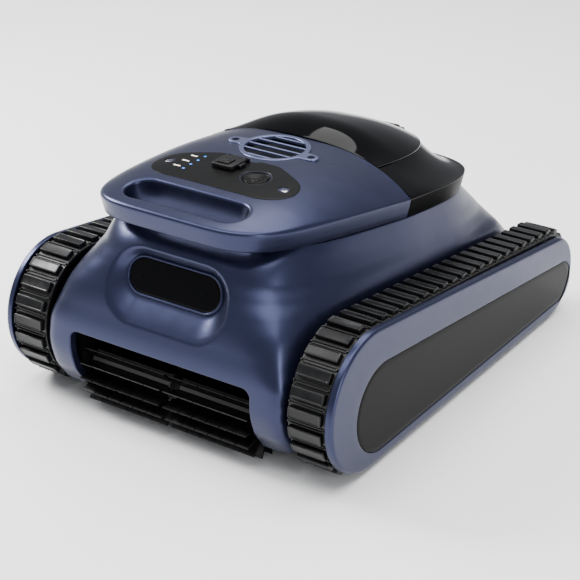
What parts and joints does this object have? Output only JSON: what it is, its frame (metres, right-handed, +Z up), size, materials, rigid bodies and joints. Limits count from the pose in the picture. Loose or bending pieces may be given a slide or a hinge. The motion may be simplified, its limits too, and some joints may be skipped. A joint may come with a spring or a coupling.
{
  "type": "tracked pool cleaning robot",
  "caption": "Cordless tracked pool cleaner with a roller brush, carry handle, top outlet grille and a hinged lid over its filter.",
  "frame": {"origin": "on the floor, under the middle of the bounding box", "axes": "+Z up; -Y is the front, where the roller brush and the carry handle are; +X is to the viewer's right when the viewer faces the front"},
  "size_m": [0.4, 0.5179, 0.257],
  "materials": {
    "blue_paint": "satin metallic slate-blue paint on moulded plastic",
    "black_gloss": "polished black",
    "lens_gloss": "polished black window",
    "black_satin": "satin black",
    "dark_plastic": "fine-textured black",
    "wheel_plastic": "moulded black",
    "rubber": "soft matt rubber",
    "track_rubber": "moulded tread rubber",
    "steel": "turned stainless steel",
    "basket_plastic": "light grey moulded frame",
    "mesh_plastic": "fine woven filter mesh",
    "light_warm": "translucent light bar",
    "light_blue": "translucent blue light",
    "grey_plastic": "moulded grey",
    "board": "green circuit board",
    "battery_wrap": "shrink-wrapped pack"
  },
  "bodies": {
    "hull": {"upper_shell": "blue_paint", "base_tub": "dark_plastic", "deck": "blue_paint", "rear_hood": "black_gloss", "lid_seal": "rubber", "lid_hinge_pin": "steel", "filter_basket": "basket_plastic", "filter_mesh": "mesh_plastic", "control_panel": "black_satin", "status_bars": "light_warm", "charge_lights": "light_blue", "charging_port": "grey_plastic", "panel_screws": "steel", "outlet_grille": "blue_paint", "grille_screws": "steel", "outlet_duct": "grey_plastic", "pump_motor": "steel", "window_lens": "lens_gloss", "sensor_board": "board", "brush_bearings": "grey_plastic", "gearbox_left": "grey_plastic", "gearbox_right": "grey_plastic", "drive_motor_left": "steel", "drive_motor_right": "steel", "idler_axle_left": "steel", "idler_axle_right": "steel", "track_belt_left": "track_rubber", "track_belt_right": "track_rubber", "side_cover_left": "blue_paint", "side_cover_right": "blue_paint", "side_panel_left": "black_gloss", "side_panel_right": "black_gloss", "battery_pack": "battery_wrap", "control_board": "board"},
    "lid": {"lid": "black_gloss"},
    "inlet_flap": {"inlet_flap": "rubber"},
    "power_button": {"power_button": "black_satin"},
    "port_plug": {"port_plug": "rubber"},
    "impeller": {"impeller": "dark_plastic"},
    "brush": {"brush_core": "grey_plastic", "brush_fins": "rubber", "brush_ring": "dark_plastic", "brush_axle": "steel"},
    "drive_wheel_left": {"sprocket_left": "wheel_plastic", "drive_shaft_left": "steel"},
    "drive_wheel_right": {"sprocket_right": "wheel_plastic", "drive_shaft_right": "steel"},
    "idler_wheel_left": {"idler_left": "wheel_plastic"},
    "idler_wheel_right": {"idler_right": "wheel_plastic"}
  },
  "joints": [
    {"name": "lid_hinge", "type": "hinge", "parent": "hull", "child": "lid", "pos_m": [0, 0.1555, 0.209], "axis": [-1, 0, 0], "range_deg": [0, 75]},
    {"name": "inlet_flap_hinge", "type": "hinge", "parent": "hull", "child": "inlet_flap", "pos_m": [0, 0.0385, 0.0534], "axis": [1, 0, 0], "range_deg": [0, 60]},
    {"name": "power_press", "type": "slide", "parent": "hull", "child": "power_button", "axis": [0, 0, -1], "range_m": [0, 0.0015], "stiffness_N_per_m": 800, "springref_m": -0.0005},
    {"name": "port_plug_hinge", "type": "hinge", "parent": "hull", "child": "port_plug", "pos_m": [-0.0095, -0.1062, 0.2525], "axis": [-1, 0, 0], "range_deg": [0, 100]},
    {"name": "impeller_spin", "type": "hinge", "parent": "hull", "child": "impeller", "pos_m": [0, -0.056, 0.2], "axis": [0, 0, 1], "continuous": true},
    {"name": "brush_spin", "type": "hinge", "parent": "hull", "child": "brush", "pos_m": [0, -0.2145, 0.043], "axis": [1, 0, 0], "continuous": true},
    {"name": "drive_wheel_left_spin", "type": "hinge", "parent": "hull", "child": "drive_wheel_left", "pos_m": [-0.17, -0.181, 0.077], "axis": [1, 0, 0], "continuous": true},
    {"name": "drive_wheel_right_spin", "type": "hinge", "parent": "hull", "child": "drive_wheel_right", "pos_m": [0.17, -0.181, 0.077], "axis": [1, 0, 0], "continuous": true},
    {"name": "idler_wheel_left_spin", "type": "hinge", "parent": "hull", "child": "idler_wheel_left", "pos_m": [-0.17, 0.204, 0.054], "axis": [1, 0, 0], "continuous": true},
    {"name": "idler_wheel_right_spin", "type": "hinge", "parent": "hull", "child": "idler_wheel_right", "pos_m": [0.17, 0.204, 0.054], "axis": [1, 0, 0], "continuous": true}
  ],
  "couplings": [
    {"joint": "idler_wheel_left_spin", "follows": "drive_wheel_left_spin", "ratio": 1.5157},
    {"joint": "idler_wheel_right_spin", "follows": "drive_wheel_right_spin", "ratio": 1.5157}
  ]
}
